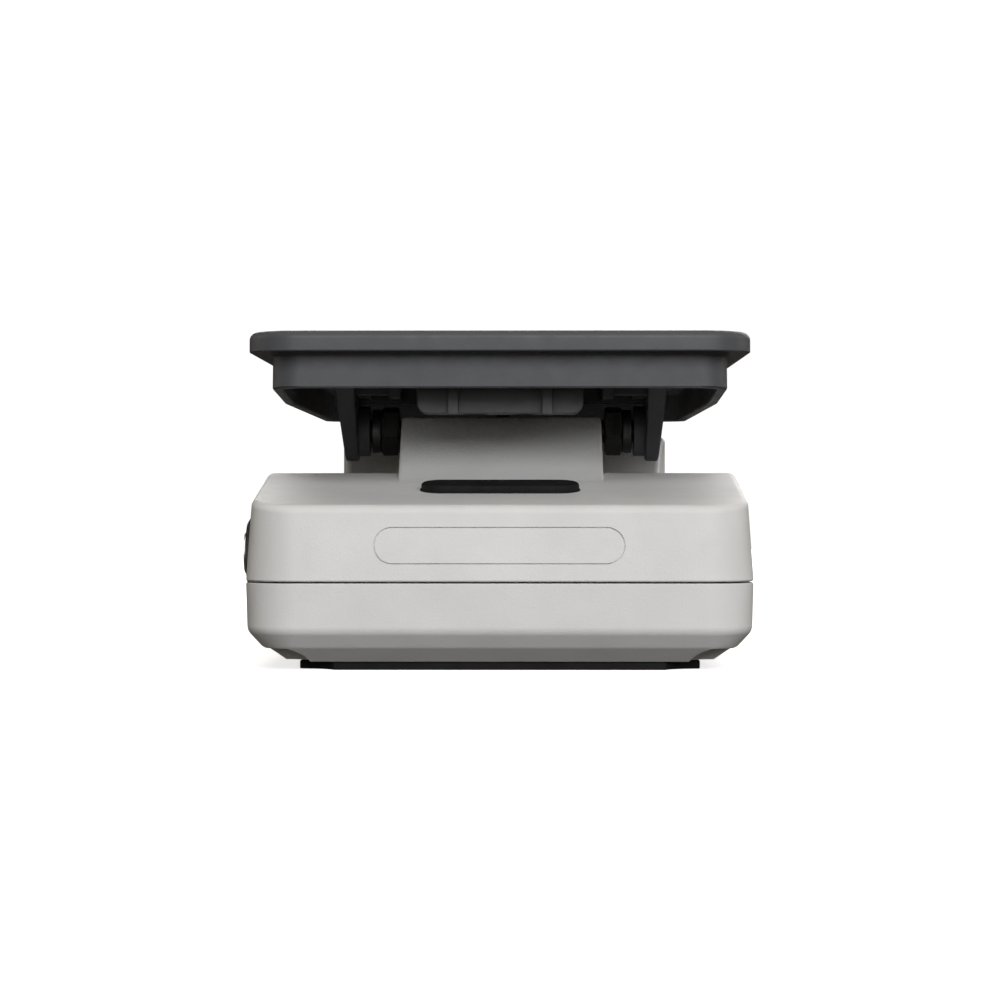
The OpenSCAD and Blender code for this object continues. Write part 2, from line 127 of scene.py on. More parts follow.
def round_corners(points, radii, steps=5, closed=True):
    """The outline through points, with each corner turned into an arc of its radius."""
    out = []
    for i, point in enumerate(points):
        corner = Vector(point)
        at_end = not closed and i in (0, len(points) - 1)
        radius = radii[i] if isinstance(radii, (list, tuple)) else radii
        if at_end or radius <= 0:
            out.append(corner)
            continue
        back = (Vector(points[i - 1]) - corner).normalized()
        ahead = (Vector(points[(i + 1) % len(points)]) - corner).normalized()
        half = back.angle(ahead) / 2
        centre = corner + (back + ahead).normalized() * radius / math.sin(half)
        arm = corner + back * radius / math.tan(half) - centre
        end = corner + ahead * radius / math.tan(half) - centre
        turn = math.atan2(arm.x * end.y - arm.y * end.x, arm.dot(end))
        for k in range(steps + 1):
            c, s = math.cos(turn * k / steps), math.sin(turn * k / steps)
            out.append(centre + Vector((arm.x * c - arm.y * s, arm.x * s + arm.y * c)))
    return out


def arc(centre, radius, start, end, steps):
    """Points on an arc; the angles are in degrees."""
    angles = [math.radians(start + (end - start) * k / steps) for k in range(steps + 1)]
    return [(centre[0] + radius * math.cos(a), centre[1] + radius * math.sin(a)) for a in angles]


def plan(half_x, half_y, radius, side_y=(), steps=10):
    """A rectangle with round corners, its right side from -Y to +Y and then its left side back.
    side_y gives extra points on both long sides."""
    radius = max(radius, 0.05)
    right = arc((half_x - radius, radius - half_y), radius, -90, 0, steps)
    right += [(half_x, y) for y in side_y]
    right += arc((half_x - radius, half_y - radius), radius, 0, 90, steps)
    return right + [(-x, y) for x, y in reversed(right)]


def stadium(width, length, steps=12):
    """A bar with half-round ends, ordered as plan() orders its points."""
    return plan(width / 2, length / 2, length / 2 - 0.001, (), steps)


# ---------------------------------------------------------------- mesh tools

def new_object(name, vertices, faces):
    mesh = bpy.data.meshes.new(name)
    mesh.from_pydata([tuple(v) for v in vertices], [], faces)
    tidy = bmesh.new()
    tidy.from_mesh(mesh)
    bmesh.ops.remove_doubles(tidy, verts=tidy.verts, dist=0.0008)
    bmesh.ops.dissolve_degenerate(tidy, edges=tidy.edges, dist=0.0005)
    bmesh.ops.recalc_face_normals(tidy, faces=tidy.faces)
    tidy.to_mesh(mesh)
    tidy.free()
    obj = bpy.data.objects.new(name, mesh)
    bpy.context.scene.collection.objects.link(obj)
    return obj


def loft(name, rings, closed=False, strips=False):
    """A skin over rings of points. Its ends are capped, unless it closes on itself."""
    count = len(rings[0])
    vertices = [v for ring in rings for v in ring]
    faces = []
    for k in range(len(rings) if closed else len(rings) - 1):
        here, there = k * count, (k + 1) % len(rings) * count
        for i in range(count):
            j = (i + 1) % count
            faces.append((here + i, here + j, there + j, there + i))
    if not closed:
        for start in (0, (len(rings) - 1) * count):
            if strips:
                faces += [(start + i, start + i + 1, start + count - 2 - i, start + count - 1 - i)
                          for i in range(count // 2 - 1)]
            else:
                faces.append(tuple(range(start, start + count)))
    return new_object(name, vertices, faces)


def prism_x(name, outline, x0, x1):
    """An outline in Y and Z, drawn out along X."""
    return loft(name, [[(x, y, z) for y, z in outline] for x in (x0, x1)])


def prism_z(name, outline, z0, z1):
    return loft(name, [[(x, y, z) for x, y in outline] for z in (z0, z1)])


def lathe(name, profile, place_at, steps=48):
    """A closed profile of (distance along the axis, radius) turned about the axis.
    place_at(distance, u, v) gives the point in space."""
    rings = []
    for k in range(steps):
        a = 2 * math.pi * k / steps
        rings.append([place_at(d, r * math.cos(a), r * math.sin(a)) for d, r in profile])
    return loft(name, rings, closed=True)


def along_x(y, z):
    return lambda d, u, v: (d, y + u, z + v)


def along_z(x, y):
    return lambda d, u, v: (x + u, y + v, d)


def cylinder_x(name, y, z, x0, x1, radius, steps=48):
    return lathe(name, [(x0, 0), (x0, radius), (x1, radius), (x1, 0)], along_x(y, z), steps)


def cylinder_z(name, x, y, z0, z1, radius, steps=40):
    return lathe(name, [(z0, 0), (z0, radius), (z1, radius), (z1, 0)], along_z(x, y), steps)


def block(name, low, high):
    outline = [(low[0], low[1]), (high[0], low[1]), (high[0], high[1]), (low[0], high[1])]
    return prism_z(name, outline, low[2], high[2])


def bake_modifiers(obj):
    graph = bpy.context.evaluated_depsgraph_get()
    mesh = bpy.data.meshes.new_from_object(obj.evaluated_get(graph))
    old = obj.data
    obj.modifiers.clear()
    obj.data = mesh
    bpy.data.meshes.remove(old)
    return obj


def combine(obj, operation, tools):
    """Union, difference or intersection of obj with each tool. The tools are used up."""
    for tool in tools:
        step = obj.modifiers.new("combine", "BOOLEAN")
        step.operation = operation
        step.solver = "EXACT"
        step.object = tool
        bake_modifiers(obj)
        bpy.data.objects.remove(tool)
    return obj


def weld(obj, *tools):
    return combine(obj, "UNION", tools)


def cut(obj, *tools):
    return combine(obj, "DIFFERENCE", tools)


def trim(obj, *tools):
    return combine(obj, "INTERSECT", tools)


def copy_of(obj):
    twin = bpy.data.objects.new(obj.name + "_twin", obj.data.copy())
    bpy.context.scene.collection.objects.link(twin)
    return twin


def mirrored(obj):
    """A copy of obj on the other side of the pedal."""
    twin = copy_of(obj)
    twin.data.transform(Matrix.Scale(-1, 4, (1, 0, 0)))
    twin.data.flip_normals()
    return twin


def gather(obj, *others):
    """Joins separate solids into one object."""
    whole = bmesh.new()
    for piece in (obj, *others):
        whole.from_mesh(piece.data)
    whole.to_mesh(obj.data)
    whole.free()
    for piece in others:
        bpy.data.objects.remove(piece)
    return obj


def soften(obj, width, steps=3, angle=32):
    """Rounds every edge sharper than angle."""
    step = obj.modifiers.new("soften", "BEVEL")
    step.width = width
    step.segments = steps
    step.limit_method = "ANGLE"
    step.angle_limit = math.radians(angle)
    step.use_clamp_overlap = True
    return bake_modifiers(obj)


def place(obj, body, material, slot, *nodes, smooth=32):
    """Finishes a piece: metres, shading, material, body and the CAD nodes that it stands for."""
    obj.data.transform(Matrix.Scale(MM, 4))
    obj.data.polygons.foreach_set("use_smooth", [True] * len(obj.data.polygons))
    obj.data.set_sharp_from_angle(angle=math.radians(smooth))
    step = obj.modifiers.new("shading", "WEIGHTED_NORMAL")
    step.keep_sharp = True
    bake_modifiers(obj)
    obj.data.materials.clear()
    obj.data.materials.append(material)
    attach(obj, body)
    if nodes:
        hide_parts(*nodes)
    return obj


# ---------------------------------------------------------------- materials

class Look:
    """One procedural material, built round a Principled shader in the piece's own space."""

    def __init__(self, name, roughness, metallic=0.0, **settings):
        self.material = bpy.data.materials.new(name)
        self.material.use_nodes = True
        self.tree = self.material.node_tree
        self.shader = self.tree.nodes["Principled BSDF"]
        self.shader.inputs["Roughness"].default_value = roughness
        self.shader.inputs["Metallic"].default_value = metallic
        for socket, value in settings.items():
            self.shader.inputs[socket.replace("_", " ")].default_value = value
        self.space = self.tree.nodes.new("ShaderNodeTexCoord")
        self.bump = None

    def link(self, a, b):
        self.tree.links.new(a, b)

    def noise(self, size_mm, detail=3.0, stretch=None, roughness=0.5):
        """Noise whose grains are about size_mm across; stretch scales it along X, Y and Z."""
        node = self.tree.nodes.new("ShaderNodeTexNoise")
        node.inputs["Scale"].default_value = 1 / (size_mm * MM)
        node.inputs["Detail"].default_value = detail
        node.inputs["Roughness"].default_value = roughness
        source = self.space.outputs["Object"]
        if stretch:
            mapping = self.tree.nodes.new("ShaderNodeMapping")
            mapping.inputs["Scale"].default_value = stretch
            self.link(source, mapping.inputs["Vector"])
            source = mapping.outputs["Vector"]
        self.link(source, node.inputs["Vector"])
        return node.outputs["Fac"]

    def cells(self, size_mm, feature="F1"):
        node = self.tree.nodes.new("ShaderNodeTexVoronoi")
        node.feature = feature
        node.inputs["Scale"].default_value = 1 / (size_mm * MM)
        self.link(self.space.outputs["Object"], node.inputs["Vector"])
        return node.outputs["Distance"]

    def ramp(self, value, stops):
        """Maps a value to colours at the given places."""
        node = self.tree.nodes.new("ShaderNodeValToRGB")
        while len(node.color_ramp.elements) < len(stops):
            node.color_ramp.elements.new(0.5)
        for element, (place_at, colour) in zip(node.color_ramp.elements, stops):
            element.position = place_at
            element.color = (*colour, 1.0)
        self.link(value, node.inputs["Fac"])
        return node.outputs["Color"]

    def colour(self, value, dark, light, low=0.35, high=0.65):
        self.link(self.ramp(value, [(low, dark), (high, light)]), self.shader.inputs["Base Color"])

    def vary_roughness(self, value, low, high):
        node = self.tree.nodes.new("ShaderNodeMapRange")
        node.inputs["From Min"].default_value = 0.3
        node.inputs["From Max"].default_value = 0.7
        node.inputs["To Min"].default_value = low
        node.inputs["To Max"].default_value = high
        self.link(value, node.inputs["Value"])
        self.link(node.outputs["Result"], self.shader.inputs["Roughness"])

    def above(self, low_mm, high_mm):
        """A mask that grows from 0 to 1 between two heights."""
        split = self.tree.nodes.new("ShaderNodeSeparateXYZ")
        self.link(self.space.outputs["Object"], split.inputs["Vector"])
        node = self.tree.nodes.new("ShaderNodeMapRange")
        node.inputs["From Min"].default_value = low_mm * MM
        node.inputs["From Max"].default_value = high_mm * MM
        self.link(split.outputs["Z"], node.inputs["Value"])
        return node.outputs["Result"]

    def relief(self, value, depth_mm, strength=1.0):
        """Adds relief of the given depth; a second call lies on top of the first."""
        node = self.tree.nodes.new("ShaderNodeBump")
        node.inputs["Distance"].default_value = depth_mm * MM
        node.inputs["Strength"].default_value = strength
        self.link(value, node.inputs["Height"])
        if self.bump:
            self.link(self.bump.outputs["Normal"], node.inputs["Normal"])
        self.link(node.outputs["Normal"], self.shader.inputs["Normal"])
        self.bump = node


def shade(colour, factor):
    return tuple(min(1.0, c * factor) for c in colour)


def powder_coat(name, colour, roughness, grain_mm, depth_mm, settings, rough_above=None):
    """Fine, slightly pebbled coat on a casting, coarser above a height in millimetres."""
    look = Look(name, roughness, **settings)
    look.colour(look.noise(14, 4), shade(colour, 0.965), shade(colour, 1.03))
    look.vary_roughness(look.noise(3, 2), roughness - 0.05, roughness + 0.06)
    look.relief(look.noise(2.2, 2), depth_mm * 1.2, 0.35)
    look.relief(look.noise(grain_mm, 2.5, roughness=0.6), depth_mm, 0.8)
    if rough_above:
        look.relief(look.noise(grain_mm * 1.5, 2), depth_mm * 3, 0.0)
        look.link(look.above(rough_above, rough_above + 3), look.bump.inputs["Strength"])
    return look.material


def rubber(name, colour, roughness=0.72):
    look = Look(name, roughness, Specular_IOR_Level=0.13)
    look.colour(look.noise(6, 4), shade(colour, 0.8), shade(colour, 1.25))
    look.vary_roughness(look.noise(2.5, 3), roughness - 0.08, roughness + 0.08)
    look.relief(look.noise(0.22, 2), 0.03, 0.6)
    return look.material


def plated(name, colour, roughness, stretch, scratch_mm=0.25):
    """Metal with fine turning or brushing marks along one direction."""
    look = Look(name, roughness, metallic=1.0)
    look.colour(look.noise(5, 3), shade(colour, 0.9), shade(colour, 1.05))
    look.vary_roughness(look.noise(1.5, 3, stretch), roughness * 0.75, roughness * 1.3)
    look.relief(look.noise(scratch_mm, 2, stretch), 0.008, 0.6)
    return look.material


def plastic(name, colour, roughness, grain_mm=0.3, depth_mm=0.015):
    look = Look(name, roughness, Specular_IOR_Level=0.45)
    look.colour(look.noise(8, 3), shade(colour, 0.93), shade(colour, 1.06))
    look.vary_roughness(look.noise(2, 3), roughness - 0.06, roughness + 0.06)
    look.relief(look.noise(grain_mm, 2), depth_mm, 0.6)
    return look.material


def solder_mask(name):
    """Green board with paler tracks in it."""
    look = Look(name, 0.35, Coat_Weight=0.4)
    tracks = look.ramp(look.cells(4.5, "DISTANCE_TO_EDGE"),
                       [(0.06, (0.05, 0.22, 0.11)), (0.09, (0.02, 0.105, 0.05))])
    look.link(tracks, look.shader.inputs["Base Color"])
    look.relief(look.cells(4.5, "DISTANCE_TO_EDGE"), 0.05, 0.3)
    return look.material


base_coat = powder_coat("base_powder_coat", (0.60, 0.598, 0.589), 0.52, 0.42, 0.055,
                        {"Specular_IOR_Level": 0.3}, rough_above=40)
treadle_coat = powder_coat("treadle_powder_coat", (0.062, 0.064, 0.070), 0.5, 0.36, 0.025,
                           {"Specular_IOR_Level": 0.3})
black_rubber = rubber("black_rubber", (0.0075, 0.0075, 0.0075))
tread_rubber = rubber("tread_rubber", (0.026, 0.026, 0.027), 0.78)
block_plastic = plastic("stop_block_plastic", (0.058, 0.060, 0.063), 0.55)
black_plastic = plastic("black_plastic", (0.018, 0.018, 0.020), 0.42)
gear_plastic = plastic("acetal", (0.022, 0.022, 0.023), 0.38)
dark_steel = plated("blackened_steel", (0.035, 0.035, 0.038), 0.42, (1, 0.12, 0.12))
nut_steel = plated("phosphated_steel", (0.075, 0.075, 0.073), 0.5, (1, 0.3, 0.3))
bright_steel = plated("zinc_plated_steel", (0.55, 0.55, 0.56), 0.3, (1, 0.1, 0.1))
nickel = plated("nickel_plate", (0.90, 0.89, 0.87), 0.3, (1, 0.15, 0.15), 0.5)
bronze = plated("sintered_bronze", (0.50, 0.34, 0.16), 0.45, (1, 1, 1), 0.35)
board_green = solder_mask("solder_mask")
wire_red = plastic("wire_insulation", (0.30, 0.03, 0.02), 0.45)


# ---------------------------------------------------------------- upper housing

def deck(y):
    """Height of the base's top face, level in the middle and sloping down to both ends."""
    past = abs(y) - (CREST_Y - CREST_SOFT)
    if past <= 0:
        return CREST_Z
    if past >= 2 * CREST_SOFT:
        return CREST_Z - DECK_SLOPE * (abs(y) - CREST_Y)
    return CREST_Z - DECK_SLOPE * past ** 2 / (4 * CREST_SOFT)


CREST_STEPS = [CREST_Y + CREST_SOFT * k / 3 for k in range(-3, 4)]
DECK_SIDES = [-y for y in reversed(CREST_STEPS)] + CREST_STEPS


def deck_block(name, inset, bottom_z, fillet):
    """The base's upper block, drawn in by inset all round and on top."""
    def ring(extra, height):
        outline = plan(BASE_X - inset - extra, BASE_Y - inset - extra,
                       CORNER_R - inset - extra, DECK_SIDES)
        return [(x, y, height(y)) for x, y in outline]

    edge = 0.25 if inset == 0 else 0.0
    rings = [ring(edge, lambda y: bottom_z), ring(0, lambda y: bottom_z + edge)]
    for k in range(9):
        a = math.pi / 2 * k / 8
        drop = fillet * (1 - math.sin(a))
        leaned = DRAFT * (DECK_EDGE_Z - fillet - SEAM_Z) + fillet * (1 - math.cos(a))
        rings.append(ring(leaned, lambda y: deck(y) - inset - drop))
    return loft(name, rings, strips=True)


def ridge(name, half_x, shift=(0.0, 0.0), edge=0.0):
    """The centre ridge, with its concave ramp towards the heel."""
    foot_z = deck(RAMP_FOOT_Y)
    centre = (RAMP_FOOT_Y - RAMP_R * math.sin(DECK_ANGLE), foot_z + RAMP_R * math.cos(DECK_ANGLE))
    ramp = arc(centre, RAMP_R, math.degrees(DECK_ANGLE) - 90, math.degrees(RAMP_ANGLE) - 90, 12)
    top_y = ramp[-1][0] + (RIDGE_Z - ramp[-1][1]) / math.tan(RAMP_ANGLE)
    points = [(RAMP_FOOT_Y, SEAM_Z + 6), *ramp, (top_y, RIDGE_Z), (PIVOT[0], RIDGE_Z + 0.5),
              (PIVOT[0] + 9, RIDGE_Z + 0.5), (HILL_Y - 12, HILL_Z - 0.2), (HILL_Y, SEAM_Z + 6)]
    radii = [0.0] * len(points)
    radii[len(ramp) + 1] = 1.6
    outline = round_corners(points, radii)
    outline = [(y + shift[0], z + shift[1]) for y, z in outline]
    body = prism_x(name, outline, -half_x, half_x)
    for vertex in body.data.vertices:
        vertex.co.x *= 1 + RIDGE_DRAFT * (RIDGE_Z - vertex.co.z) / half_x
    return soften(body, edge, 4) if edge else body


def hill(name, grow, edge):
    """The wide hump behind the pivot; grow is negative for its inner face."""
    radius = HILL_R + grow
    front = HILL_FRONT - grow

    def top(y):
        return HILL_Z - HILL_R + math.sqrt(radius ** 2 - (y - HILL_Y) ** 2)

    back_y = HILL_BACK_Y + grow
    samples = [front + (back_y - front) * k / 24 for k in range(25)]
    samples.append(back_y + (top(back_y) - SEAM_Z - 12) * HILL_BACK_SLOPE)
    profile = [(y, top(y) if y <= back_y else SEAM_Z + 12) for y in samples]
    radii = [0.0] * len(profile)
    radii[-2] = 3.0
    profile = round_corners(profile, radii, closed=False)
    rings = []
    for k in range(7):
        a = math.pi / 2 * k / 6
        fall = edge * (1 - math.sin(a))
        rings.append((front + edge * (1 - math.cos(a)), fall))
    rows = [(y, top(y) - fall, fall) for y, fall in rings]
    rows += [(y, z, 0.0) for y, z in profile if y > front + edge]
    sections = []
    for y, z, fall in rows:
        share = min(1.0, max(0.0, (y - HILL_FRONT) / (HILL_Y - HILL_FRONT)))
        half_x = HILL_FRONT_X + (HILL_X - HILL_FRONT_X) * share + grow - fall
        corner = arc((half_x - edge, z - edge), edge, 0, 90, 5)
        side = [(half_x, SEAM_Z + 6), *corner]
        section = side + [(-x, h) for x, h in reversed(side)]
        sections.append([(x, y, h) for x, h in section])
    return loft(name, sections)


def outline_groove(name, width, height, centre_z, line, depth):
    """A thin pill-shaped line in the heel face: a plain nameplate outline."""
    face_y = -BASE_Y + DRAFT * (centre_z - SEAM_Z)
    outer, inner = stadium(width, height), stadium(width - 2 * line, height - 2 * line)
    rings = []
    for outline, y in ((outer, -2), (outer, depth), (inner, depth), (inner, -2)):
        rings.append([(x, face_y + y + DRAFT * z, centre_z + z) for x, z in outline])
    return loft(name, rings, closed=True)


def jack_places():
    """Y of each socket and its side of the pedal."""
    for node, side in (("output_jack_sleeve", -1), ("input_jack_sleeve", 1)):
        low, high = box_mm(node)
        yield (low.y + high.y) / 2, side


def cut_jack_seats(casting):
    """Flat round seats for the jack nuts, across the seam of the two castings."""
    for y, side in jack_places():
        cut(casting, cylinder_x("seat", y, JACK_Z, side * SEAT_X, side * (BASE_X + 4), SEAT_R, 64))


def upper_housing():
    shell = deck_block("upper_housing", 0, SEAM_Z + SEAM_GAP / 2, DECK_FILLET)
    weld(shell, ridge("ridge", RIDGE_X, edge=1.0), hill("hill", 0, 1.3))

    hollow = deck_block("hollow", WALL, SEAM_Z - 1, 0.4)
    weld(hollow, ridge("ridge_hollow", RIDGE_X - WALL, (WALL + 1, -WALL)),
         hill("hill_hollow", -WALL, 0.4))
    cut(hollow, block("shaft_bar", (-RIDGE_X, PIVOT[0] - BAR_Y, PIVOT[1] - BAR_BELOW),
                      (RIDGE_X, PIVOT[0] + BAR_Y, PIVOT[1] + BAR_ABOVE)))
    for x, y in CORNERS:
        cut(hollow, cylinder_z("post", x, y, SEAM_Z - 3, 40, POST_R))
    cut(shell, hollow)

    for x, y in CORNERS:
        cut(shell, cylinder_z("post_hole", x, y, SEAM_Z - 3, SCREW_BORE_Z, SCREW_BORE_R))
    cut(shell, cylinder_x("shaft_hole", *PIVOT, -BASE_X, BASE_X, SHAFT_R + 0.02))
    cut(shell, block("slot", (-SLOT_X, SLOT_Y[0], CREST_Z), (SLOT_X, SLOT_Y[1], CREST_Z + 20)))
    cut_jack_seats(shell)
    for y, side in jack_places():
        cut(shell, cylinder_x("socket_hole", y, JACK_Z, side * SOCKET_X, side * (BASE_X + 4),
                              SOCKET_R))
    cut(shell, outline_groove("groove", width=49.4, height=7.4, centre_z=24.7, line=0.3,
                              depth=0.4))
    place(shell, "base", base_coat, "base_paint", "base_upper_housing", smooth=28)


# ---------------------------------------------------------------- lower housing

BEVEL = [(7.5, 1.7), (3.3, 4.6), (0.3, 7.8), (0.0, SEAM_Z - SEAM_GAP / 2)]
BOARD_POSTS = [(-14, -68), (34, -67), (-34, -36), (14, -33)]


def tray_ring(inset, z):
    outline = plan(BASE_X - inset, BASE_Y - inset, CORNER_R - inset)
    return [(x, y, z) for x, y in outline]


def lower_housing():
    top = BEVEL[-1][1]
    outer = round_corners(BEVEL, [0, 4.0, 2.6, 0], closed=False)
    rounded_top = [(0.0, top - 0.25), (0.08, top - 0.08), (0.25, top)]
    tray = loft("lower_housing", [tray_ring(i, z) for i, z in [*outer[:-1], *rounded_top]],
                strips=True)
    inner = [(BEVEL[0][0] + WALL - 0.6, 4.1), (WALL + 0.3, 8.6), (WALL, top), (WALL, top + 4)]
    hollow = loft("hollow", [tray_ring(i, z) for i, z in inner], strips=True)
    for x, y in CORNERS:
        cut(hollow, cylinder_z("boss", x, y, 1, POCKET_Z + 2.4, POCKET_R + 2.2),
            cylinder_z("stem", x, y, 2, top + 8, STEM_R))
    for x, y in BOARD_POSTS:
        cut(hollow, cylinder_z("board_post", x, y, 3, BOARD_POST_Z, BOARD_POST_R))
    cut(tray, hollow)

    for x, y in CORNERS:
        cut(tray, cylinder_z("pocket", x, y, 0, POCKET_Z, POCKET_R, 56),
            cylinder_z("head_recess", x, y, 1, 8, HEAD_RECESS_R),
            cylinder_z("hole", x, y, 2, top + 9, STEM_BORE_R))
    for x, y in BOARD_POSTS:
        cut(tray, cylinder_z("board_hole", x, y, 6, 16, BOARD_BORE_R, 24))
    cut_jack_seats(tray)
    place(tray, "base", base_coat, "base_paint", "base_lower_housing", smooth=28)


def base_mat():
    low, high = box_mm("rubber_base_mat")
    mat = prism_z("base_mat", plan(high.x, high.y, 1.0), low.z, high.z)
    for x in (low.x, high.x):
        for y in (-NOTCH_Y, NOTCH_Y):
            cut(mat, cylinder_z("notch", x, y, -1, 3, NOTCH_R, 56))
    soften(mat, 0.25, 2)
    place(mat, "base", black_rubber, "rubber", "rubber_base_mat")


# ---------------------------------------------------------------- bumper pads

def pill(name, width, length, height, lip, surface):
    """A rubber pill with a round top edge and a thin lip; surface(x, y, h) puts it in place."""
    profile = [(-lip, 0), (-lip, 0.2), (-lip + 0.12, 0.33), (0, 0.38)]
    profile += [(0.7 * (1 - math.cos(a)), height - 0.7 * (1 - math.sin(a)))
                for a in [math.pi / 2 * k / 6 for k in range(7)]]
    rings = []
    for inset, h in profile:
        outline = stadium(width - 2 * inset, length - 2 * inset, 14)
        rings.append([surface(x, y, h) for x, y in outline])
    return loft(name, rings, strips=True)


def heel_pad():
    up = Vector((0, -math.sin(DECK_ANGLE), math.cos(DECK_ANGLE)))
    along = Vector((0, math.cos(DECK_ANGLE), math.sin(DECK_ANGLE)))
    origin = Vector((0, HEEL_PAD_Y, deck(HEEL_PAD_Y)))
    pad = pill("heel_pad", width=32, length=8.4, height=1.65, lip=0.25,
               surface=lambda x, y, h: origin + Vector((x, 0, 0)) + along * y + up * h)
    place(pad, "base", black_rubber, "rubber", "heel_bumper_pad")


def toe_pad():
    def surface(x, y, h):
        radius = HILL_R + h
        a = (TOE_PAD_Y + y - HILL_Y) / HILL_R
        return (x, HILL_Y + radius * math.sin(a), HILL_Z - HILL_R + radius * math.cos(a))

    pad = pill("toe_pad", width=31.6, length=8.0, height=1.35, lip=0.15, surface=surface)
    place(pad, "base", black_rubber, "rubber", "toe_bumper_pad")


# ---------------------------------------------------------------- pivot hardware

def hex_nut(name, at, x0, x1, flats, bore, turn=0.0):
    """A hexagonal nut along X, with its corners chamfered at both ends."""
    corner = flats / math.sqrt(3)
    outline = []
    for k in range(6):
        a = math.radians(60 * k + turn)
        outline.append((at[0] + corner * math.cos(a), at[1] + corner * math.sin(a)))
    nut = prism_x(name, outline, x0, x1)
    face_r = flats / 2 * 0.97
    fall = (corner - face_r) * 0.58
    chamfer = [(x0, 0), (x0, face_r), (x0 + fall, corner + 0.02), (x1 - fall, corner + 0.02),
               (x1, face_r), (x1, 0)]
    trim(nut, lathe("chamfer", chamfer, along_x(*at), 72))
    return cut(nut, cylinder_x("bore", *at, x0 - 1, x1 + 1, bore + 0.01, 40))


def ring_x(name, at, x0, x1, inner, outer, edge=0.25, steps=56):
    profile = round_corners([(x0, inner), (x0, outer), (x1, outer), (x1, inner)],
                            [edge * 0.5, edge, edge, edge * 0.5], 3)
    return lathe(name, profile, along_x(*at), steps)


def pivot_parts():
    shaft = lathe("shaft", round_corners(
        [(shaft_low.x, 0), (shaft_low.x, SHAFT_R), (shaft_high.x, SHAFT_R), (shaft_high.x, 0)],
        [0, 0.5, 0.5, 0], 3), along_x(*PIVOT), 48)
    place(shaft, "base", dark_steel, "dark_steel", "pivot_shaft")

    _, high = box_mm("pivot_nuts")
    nut = hex_nut("shaft_nuts", PIVOT, high.x - 3.9, high.x, 9.5, SHAFT_R, 14)
    place(gather(nut, mirrored(nut)), "base", nut_steel, "dark_steel", "pivot_nuts")

    low, high = box_mm("pivot_washers")
    radius = (high.z - low.z) / 2
    washer = ring_x("shaft_washers", PIVOT, high.x - 2.0, high.x, SHAFT_R + 0.02, radius)
    place(gather(washer, mirrored(washer)), "base", nut_steel, "dark_steel", "pivot_washers")

    low, high = box_mm("pivot_bushings")
    bush = ring_x("lug_bushings", PIVOT, high.x - 5.7, high.x, SHAFT_R + 0.05,
                  (high.z - low.z) / 2, 0.4)
    place(gather(bush, mirrored(bush)), "treadle", bronze, "bronze", "pivot_bushings")


# ---------------------------------------------------------------- sockets

def jack_sleeve(name, side):
    """A threaded sleeve with a rounded lip; the thread is cut as fine rings."""
    low, high = box_mm(name.replace("sleeve", "jack_sleeve"))
    y = (low.y + high.y) / 2
    outer, bore = (high.z - low.z) / 2, 3.25
    x0, x1 = sorted((abs(low.x), abs(high.x)))
    pitch, groove = 0.75, 0.28
    profile = [(x0, bore), (x0, outer)]
    x = x0 + 0.5
    while x < x1 - 1.2:
        profile += [(x, outer), (x + pitch / 2, outer - groove)]
        x += pitch
    profile += [(x1 - 0.9, outer), (x1 - 0.35, outer - 0.12), (x1, outer - 0.5),
                (x1, bore + 0.5), (x1 - 0.35, bore + 0.1), (x1 - 0.8, bore)]
    profile = [(side * d, r) for d, r in profile]
    sleeve = lathe(name, profile, along_x(y, JACK_Z), 64)
    place(sleeve, "base", nickel, "chrome", name.replace("sleeve", "jack_sleeve"))


def jack_nut(name, side):
    low, high = box_mm(name.replace("nut", "jack_nut"))
    y = (low.y + high.y) / 2
    at = (y, JACK_Z)
    x0, x1 = sorted((abs(low.x), abs(high.x)))
    corner = max(high.z - low.z, high.y - low.y) / 2
    nut = hex_nut(name, at, x0, x1, corner * math.sqrt(3), 4.5, JACK_NUT_TURN)
    if side < 0:
        nut.data.transform(Matrix.Scale(-1, 4, (1, 0, 0)))
        nut.data.flip_normals()
    place(nut, "base", dark_steel, "dark_steel", name.replace("nut", "jack_nut"))


# ---------------------------------------------------------------- screws

def screw(name, x, y, head_z, tip_z, head_r, shank_r, head_t, up):
    """A pan-head screw along Z with a hexagonal recess; up is 1 if its head is on top."""
    points = [(0, 0), (0, head_r), (head_t, head_r), (head_t, 0)]
    head = round_corners(points, [0, head_t * 0.45, 0.1, 0], 5)
    side = -1 if up > 0 else 1
    body = lathe(name, [(head_z + side * d, r) for d, r in head], along_z(x, y), 40)
    length = abs(tip_z - head_z)
    pitch = 0.6
    thread = [(head_t - 0.05, 0), (head_t - 0.05, shank_r)]
    d = head_t + 0.4
    while d < length - 1.0:
        thread += [(d, shank_r), (d + pitch / 2, shank_r * 0.86)]
        d += pitch
    thread += [(length - 0.5, shank_r * 0.8), (length, 0)]
    weld(body, lathe("shank", [(head_z + side * d, r) for d, r in thread], along_z(x, y), 20))
    key = head_r * 0.42
    hexagon = [(x + key * math.cos(math.radians(60 * k)), y + key * math.sin(math.radians(60 * k)))
               for k in range(6)]
    deep = sorted((head_z - side * 1, head_z + side * head_t * 0.65))
    return cut(body, prism_z("key", hexagon, *deep))


def screw_group(name, node, slot, material, body, places, up, sizes):
    """Equal screws that stand for one node. sizes holds the height of the head's outer face,
    the height of the tip, the head's radius, the shank's radius and the head's height."""
    head_z, tip_z, head_r, shank_r, head_t = sizes
    made = [screw(f"{name}_{k}", x, y, head_z, tip_z, head_r, shank_r, head_t, up)
            for k, (x, y) in enumerate(places)]
    made[0].name = name
    place(gather(*made), body, material, slot, node)


